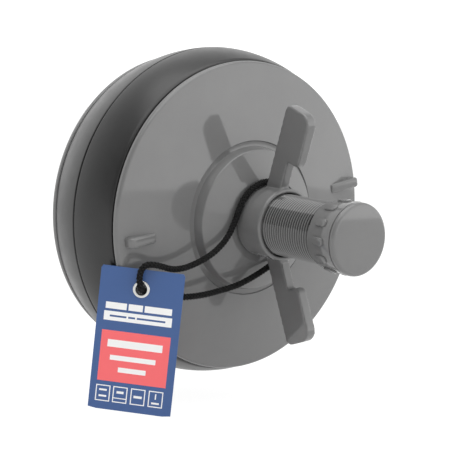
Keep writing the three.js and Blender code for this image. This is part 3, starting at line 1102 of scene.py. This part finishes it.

# %% [markdown]
# ## The spindle
# The spindle is a hollow screw with a wide head behind the rear plate. Its thread is fine, about
# twenty turns between nut and cap. A bump map would give flat lines that vanish at the outline, so
# the thread is real: a ridge swept along a helix by Geometry Nodes, round a plain core. From where
# the camera stands a turn is only two pixels wide, so shade is also painted into the grooves: the
# plastic's colour darkens towards the thread's root, with a little painted light on its crest.

# %% The spindle's core
THREAD_DEPTH = 0.7
SPINDLE_CORE = SPINDLE_RADIUS - THREAD_DEPTH
SPINDLE_BORE = 6.2
HEAD_RADIUS = 17.0
HEAD_FRONT = -27.9
HEAD_BACK = -30.9
SHOULDER = 62.2
SPIGOT_RADIUS = 8.2
SPIGOT_END = 71.2


def spindle_outline():
    return filleted([
        (SPINDLE_BORE, HEAD_BACK, 0.4), (HEAD_RADIUS, HEAD_BACK, 0.8), (HEAD_RADIUS, HEAD_FRONT, 0.5),
        (SPINDLE_CORE, HEAD_FRONT, 0.3), (SPINDLE_CORE, SHOULDER, 0.4),
        (SPIGOT_RADIUS, SHOULDER, 0.3), (SPIGOT_RADIUS, SPIGOT_END, 0.4), (SPINDLE_BORE, SPIGOT_END, 0.3),
    ])


spindle_core = turned("spindle_core", spindle_outline(), 128)
core_faces = len(spindle_core.data.polygons)
print(spindle_core.name, core_faces, "faces")

# %% The thread's tree
def make_thread_tree():
    tree, given, result = geometry_tree("thread", [
        ("Radius", "NodeSocketFloat", SPINDLE_CORE * MM), ("Depth", "NodeSocketFloat", THREAD_DEPTH * MM),
        ("Pitch", "NodeSocketFloat", THREAD_PITCH * MM), ("Length", "NodeSocketFloat", 30 * MM),
        ("Material", "NodeSocketMaterial", None),
    ])
    helix = node(tree, "GeometryNodeCurveSpiral", Resolution=72)
    turns = math_node(tree, "DIVIDE", given.outputs["Length"], given.outputs["Pitch"])
    link(tree, turns, helix.inputs["Rotations"])
    for end in ("Start Radius", "End Radius"):
        link(tree, given.outputs["Radius"], helix.inputs[end])
    link(tree, given.outputs["Length"], helix.inputs["Height"])
    level = tree.nodes.new("GeometryNodeSetCurveNormal")
    level.mode = "Z_UP"
    link(tree, helix.outputs["Curve"], level.inputs["Curve"])
    section = node(tree, "GeometryNodeCurvePrimitiveCircle", Resolution=4)
    link(tree, given.outputs["Depth"], section.inputs["Radius"])
    skin = node(tree, "GeometryNodeCurveToMesh", Fill_Caps=True)
    link(tree, level.outputs["Curve"], skin.inputs["Curve"])
    link(tree, section.outputs["Curve"], skin.inputs["Profile Curve"])
    finish_tree(tree, given, result, skin.outputs["Mesh"])
    return tree


thread_tree = make_thread_tree()
print("tree", thread_tree.name)

# %% The thread's plastic, with painted shade
# Radii and colour factors for the painted shade in the thread's grooves and painted light on its crest.
THREAD_BOTTOM = 9.75
THREAD_TOP = 10.1
GROOVE_PAINTED_SHADE = 0.04
CREST_PAINTED_LIGHT = 1.1


def make_thread_painted_shade_plastic():
    """Grey plastic with painted shade, darker towards the thread's root where less light gets in."""
    material = make_grey_plastic("thread_painted_shade_plastic")
    tree = material.node_tree
    shader = tree.nodes["Principled BSDF"]
    plain = shader.inputs["Base Color"].links[0].from_socket
    place = tree.nodes.new("ShaderNodeTexCoord")
    across = tree.nodes.new("ShaderNodeVectorMath")
    across.operation = "MULTIPLY"
    across.inputs[1].default_value = (1.0, 0.0, 1.0)
    link(tree, place.outputs["Object"], across.inputs[0])
    length = tree.nodes.new("ShaderNodeVectorMath")
    length.operation = "LENGTH"
    link(tree, across.outputs["Vector"], length.inputs[0])
    # Painted shade: the colour darkens towards the thread's root, with a little painted light on the crest.
    spread = node(tree, "ShaderNodeMapRange", From_Min=THREAD_BOTTOM * MM, From_Max=THREAD_TOP * MM,
                  To_Min=GROOVE_PAINTED_SHADE, To_Max=CREST_PAINTED_LIGHT)
    link(tree, length.outputs["Value"], spread.inputs["Value"])
    mix = tree.nodes.new("ShaderNodeMix")
    mix.data_type = "RGBA"
    mix.blend_type = "MULTIPLY"
    mix.inputs["Factor"].default_value = 1.0
    link(tree, plain, mix.inputs["A"])
    link(tree, spread.outputs["Result"], mix.inputs["B"])
    link(tree, mix.outputs["Result"], shader.inputs["Base Color"])
    return material


thread_painted_shade_plastic = make_thread_painted_shade_plastic()
print("finish", thread_painted_shade_plastic.name)

# %% The spindle
THREAD_START = 28.0
THREAD_END = SHOULDER - 0.6
RIDGE_SHARP_ANGLE = math.radians(60)


def thread_ridge():
    ridge = bpy.data.objects.new("thread_ridge", bpy.data.meshes.new("thread_ridge"))
    bpy.context.scene.collection.objects.link(ridge)
    run_tree(ridge, thread_tree, Radius=SPINDLE_CORE * MM, Depth=THREAD_DEPTH * MM, Pitch=THREAD_PITCH * MM,
             Length=(THREAD_END - THREAD_START) * MM, Material=thread_painted_shade_plastic)
    ridge = frozen(ridge, RIDGE_SHARP_ANGLE)
    ahead = Matrix.Translation((0, -THREAD_START * MM, 0))
    ridge.data.transform(ahead @ Matrix.Rotation(math.pi / 2, 4, "X"))
    return ridge


ridge = thread_ridge()
print("thread ridge", len(ridge.data.polygons), "faces")
spindle = joined("threaded_spindle", [spindle_core, ridge])
spindle.data.set_sharp_from_angle(angle=SHARP_ANGLE)
dress(spindle, grey_plastic)
spindle.data.materials.append(thread_painted_shade_plastic)
for face in list(spindle.data.polygons)[core_faces:]:
    face.material_index = 1
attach(spindle, "core")
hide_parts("spindle")

# %% The seal under the spindle's head
SEAL_FRONT = -26.1
SEAL_BACK = -27.6
SEAL_BORE = SPINDLE_RADIUS + 0.3


def seal_outline():
    return filleted([
        (SEAL_BORE, SEAL_BACK, 0.2), (HEAD_RADIUS, SEAL_BACK, 0.5),
        (HEAD_RADIUS, SEAL_FRONT, 0.5), (SEAL_BORE, SEAL_FRONT, 0.2),
    ])


seal = dress(turned("head_seal", seal_outline(), 96), black_rubber)
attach(seal, "core")
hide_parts("spindle_seal")
print(seal.name, len(seal.data.polygons), "faces")

# %% [markdown]
# ## The wing nut
# The nut is one moulding: a round body with two arms that sweep forward and widen into paddles.
# Where an arm grows out of the body the mould has a fillet, which booleans and bevels make badly.
# So the rough shapes are simply laid into each other and wrapped in a fine voxel skin, whose
# smoothing rounds outer edges and fills inner corners at once, as a moulding does.

# %% The wing nut's rough shapes
NUT_RADIUS = 12.0
NUT_BORE = 10.55
WING_BACK_OFFSET = 3.0
WING_SWEEP = math.radians(20.5)
WING_LENGTH = 30.0
WING_THICKNESS = 3.6
ARM_WIDTH = 6.8
PADDLE_WIDTH = 11.8
PADDLE_START = 12.3
WING_ANGLE = math.radians(97)
WING_ROOT = -0.7


def nut_body():
    outline = filleted([
        (NUT_BORE, NUT_BACK, 0.3), (NUT_RADIUS, NUT_BACK, 0.5),
        (NUT_RADIUS, NUT_FRONT, 0.7), (NUT_BORE, NUT_FRONT, 0.4),
    ])
    return turned("nut_body", outline, 160)


def along_wing(along, across, rounding):
    radius = NUT_RADIUS + along * math.cos(WING_SWEEP) - across * math.sin(WING_SWEEP)
    ahead = NUT_BACK + WING_BACK_OFFSET + along * math.sin(WING_SWEEP) + across * math.cos(WING_SWEEP)
    return radius, ahead, rounding


def wing_outline():
    front_root = WING_ROOT + ARM_WIDTH * math.tan(WING_SWEEP)
    return filleted([
        along_wing(WING_ROOT, 0, 0), along_wing(WING_LENGTH, 0, 2.2),
        along_wing(WING_LENGTH, PADDLE_WIDTH, 4.0), along_wing(PADDLE_START, PADDLE_WIDTH, 2.0),
        along_wing(PADDLE_START, ARM_WIDTH, 0.8), along_wing(front_root, ARM_WIDTH, 0),
    ])


print("wing outline", len(wing_outline()), "points")


# %% The wing nut
VOXEL = 0.33
SMOOTHING_ROUNDS = 5


def wing_nut():
    wing = slab("wing", wing_outline(), WING_THICKNESS)
    wings = [wing, wing.copy()]
    wings[1].data = wing.data.copy()
    bpy.context.scene.collection.objects.link(wings[1])
    for piece, turn in zip(wings, (WING_ANGLE, WING_ANGLE + math.pi)):
        piece.data.transform(Matrix.Rotation(-turn, 4, "Y"))
    nut = joined("wing_nut_moulding", [nut_body(), *wings])
    with_modifier(nut, "REMESH", mode="VOXEL", voxel_size=VOXEL * MM, use_smooth_shade=True)
    with_modifier(nut, "SMOOTH", factor=0.5, iterations=SMOOTHING_ROUNDS)
    return frozen(nut, math.pi)


nut = dress(wing_nut(), grey_plastic)
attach(nut, "nut")
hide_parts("wing_nut")
print(nut.name, len(nut.data.polygons), "faces")

# %% [markdown]
# ## The screw cap
# The cap's skirt widens a little towards the front, with a fine groove before its rounded face.
# Its grip pads are low rounded blocks, twelve in all, copied about the axis by the tree above.

# %% The cap's shell
CAP_REAR_RADIUS = 10.9
CAP_FRONT_RADIUS = 11.6
CAP_BORE = 8.5
CAP_GROOVE = 0.4
CAP_GROOVE_SLOPE = 0.05


def cap_outline():
    floor_radius = CAP_FRONT_RADIUS - CAP_GROOVE
    groove_end = CAP_INSIDE + CAP_GROOVE
    return filleted([
        (CAP_BORE, CAP_REAR, 0.3), (CAP_REAR_RADIUS, CAP_REAR, 0.3),
        (CAP_FRONT_RADIUS, CAP_INSIDE, 0.15), (floor_radius, CAP_INSIDE + CAP_GROOVE_SLOPE, 0.02),
        (floor_radius, groove_end - CAP_GROOVE_SLOPE, 0.02), (CAP_FRONT_RADIUS, groove_end, 0.15),
        (CAP_FRONT_RADIUS, CAP_FRONT, 1.2), (0.0, CAP_FRONT, 0),
        (0.0, CAP_INSIDE, 0), (CAP_BORE, CAP_INSIDE, 0.3),
    ])


cap_shell = turned("cap_shell", cap_outline(), 160)
print(cap_shell.name, len(cap_shell.data.polygons), "faces")

# %% The grip pads
PAD_COUNT = 12
PAD_ANGLE = math.radians(6.5)
PAD_LENGTH = 5.0
PAD_WIDTH = 2.6
PAD_HEIGHT = 0.6
PAD_CORNER = 1.1
PAD_EDGE = 0.35


def grip_pad():
    """A low block with round corners, lying on the skirt at its slope."""
    half_length, half_width = PAD_LENGTH / 2, PAD_WIDTH / 2
    middle = (CAP_REAR + CAP_INSIDE) / 2
    radius = (CAP_REAR_RADIUS + CAP_FRONT_RADIUS) / 2
    plan = filleted([(-half_length, -half_width, PAD_CORNER), (half_length, -half_width, PAD_CORNER),
                     (half_length, half_width, PAD_CORNER), (-half_length, half_width, PAD_CORNER)])
    slope = (CAP_FRONT_RADIUS - CAP_REAR_RADIUS) / (CAP_INSIDE - CAP_REAR)
    low, high = ([(radius + height + slope * a, -(middle + a), w) for a, w in plan]
                 for height in (-PAD_HEIGHT, PAD_HEIGHT))
    return prism("grip_pads", low, high)


pads = soften(grip_pad(), PAD_EDGE)
run_tree(pads, ring_tree, Copies=PAD_COUNT, First_Angle=PAD_ANGLE, Material=grey_plastic)
pads = frozen(pads)
cap = joined("screw_cap_moulding", [cap_shell, pads])
cap.data.set_sharp_from_angle(angle=SHARP_ANGLE)
dress(cap, grey_plastic)
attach(cap, "cap")
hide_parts("screw_cap")
print(cap.name, len(cap.data.polygons), "faces")

# %% The gasket inside the cap
GASKET_BACK = 71.5
GASKET_FRONT = 72.5


def gasket_outline():
    return filleted([
        (0.0, GASKET_BACK, 0), (SPIGOT_RADIUS, GASKET_BACK, 0.3),
        (SPIGOT_RADIUS, GASKET_FRONT, 0.3), (0.0, GASKET_FRONT, 0),
    ])


gasket = dress(turned("cap_gasket_disc", gasket_outline(), 96), black_rubber)
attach(gasket, "cap_gasket")
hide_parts("cap_seal")
print(gasket.name, len(gasket.data.polygons), "faces")

# %% [markdown]
# ## Floor, backdrop and light
# The photograph is a cut-out on white, under broad soft light. Here the world is the studio: the
# camera sees it plain white, and its light is a soft field that is brightest at the front right,
# which the glossy plate mirrors, and behind, where it rims the rubber. One large lamp above gives
# the shadow under the plug. The floor is white to the camera and keeps a faint shadow.

# %% The floor
FLOOR_DROP = 66.0
FLOOR_SIZE = 6000.0
FLOOR_WHITE = 0.75
FLOOR_GLOW = 1.22
FLOOR_MATT = (0.8, 0.8, 0.8, 1.0)


def make_floor_white():
    material = bpy.data.materials.new("floor_white")
    material.use_nodes = True
    tree = material.node_tree
    tree.nodes.clear()
    result = tree.nodes.new("ShaderNodeOutputMaterial")
    matt = node(tree, "ShaderNodeBsdfDiffuse", Color=FLOOR_MATT)
    glow = node(tree, "ShaderNodeEmission", Color=(1, 1, 1, 1), Strength=FLOOR_GLOW)
    mix = tree.nodes.new("ShaderNodeMixShader")
    path = tree.nodes.new("ShaderNodeLightPath")
    seen = math_node(tree, "MAXIMUM", path.outputs["Is Camera Ray"], path.outputs["Is Glossy Ray"])
    link(tree, math_node(tree, "MULTIPLY", seen, FLOOR_WHITE), mix.inputs["Fac"])
    link(tree, matt.outputs["BSDF"], mix.inputs[1])
    link(tree, glow.outputs["Emission"], mix.inputs[2])
    link(tree, mix.outputs["Shader"], result.inputs["Surface"])
    return material


def make_floor():
    half = FLOOR_SIZE / 2
    corners = [(-half, -half), (half, -half), (half, half), (-half, half)]
    floor = mesh_piece("floor", [(x, y, -FLOOR_DROP) for x, y in corners], [(0, 1, 2, 3)])
    floor.data.materials.append(make_floor_white())
    return floor


floor = make_floor()
print("floor", FLOOR_DROP, "mm below the axis")

# %% The world
SKY_LIGHT = 0.4
GROUND_LIGHT = 0.75
BACK_LIGHT = 0.95
LEFT_SHADE = 0.25
FRONT_LIGHT = 2.0
FRONT_TOWARDS = (0.63, -0.78)
FRONT_NARROWING = 3.0


def make_world():
    world = bpy.data.worlds.new("studio")
    world.use_nodes = True
    tree = world.node_tree
    tree.nodes.clear()
    result = tree.nodes.new("ShaderNodeOutputWorld")
    place = tree.nodes.new("ShaderNodeTexCoord")
    parts = tree.nodes.new("ShaderNodeSeparateXYZ")
    link(tree, place.outputs["Generated"], parts.inputs["Vector"])
    height = node(tree, "ShaderNodeMapRange", From_Min=-1.0, From_Max=1.0,
                  To_Min=GROUND_LIGHT, To_Max=SKY_LIGHT)
    link(tree, parts.outputs["Z"], height.inputs["Value"])
    path = tree.nodes.new("ShaderNodeLightPath")
    seen = math_node(tree, "MAXIMUM", path.outputs["Is Camera Ray"], path.outputs["Is Transmission Ray"])
    back = math_node(tree, "MULTIPLY", math_node(tree, "MAXIMUM", parts.outputs["Y"], 0.0), BACK_LIGHT)
    left = math_node(tree, "MULTIPLY", math_node(tree, "MINIMUM", parts.outputs["X"], 0.0), LEFT_SHADE)
    shares = [math_node(tree, "MULTIPLY", parts.outputs[axis], share)
              for axis, share in zip("XY", FRONT_TOWARDS)]
    facing = math_node(tree, "MAXIMUM", math_node(tree, "ADD", *shares), 0.0)
    front = math_node(tree, "MULTIPLY", math_node(tree, "POWER", facing, FRONT_NARROWING), FRONT_LIGHT)
    sides = math_node(tree, "ADD", math_node(tree, "ADD", back, left), front)
    light = math_node(tree, "ADD", height.outputs["Result"], sides)
    strength = math_node(tree, "MAXIMUM", light, seen)
    sky = node(tree, "ShaderNodeBackground", Color=(1, 1, 1, 1))
    link(tree, strength, sky.inputs["Strength"])
    link(tree, sky.outputs["Background"], result.inputs["Surface"])
    bpy.context.scene.world = world


make_world()
print("world", bpy.context.scene.world.name)

# %% The lamp
LAMP_PLACE = (-150, -150, 800)
LAMP_SIZE = 1000
LAMP_POWER = 7.0


def make_top_lamp():
    data = bpy.data.lights.new("top_lamp", "AREA")
    data.size = LAMP_SIZE * MM
    data.energy = LAMP_POWER
    lamp = bpy.data.objects.new("top_lamp", data)
    bpy.context.scene.collection.objects.link(lamp)
    lamp.location = Vector(LAMP_PLACE) * MM
    lamp.rotation_euler = (-lamp.location).to_track_quat("-Z", "Y").to_euler()
    return lamp


top_lamp = make_top_lamp()
print(top_lamp.name, "at", LAMP_PLACE)

# %% The view and the sizes
scene = bpy.context.scene
scene.view_settings.view_transform = "Standard"
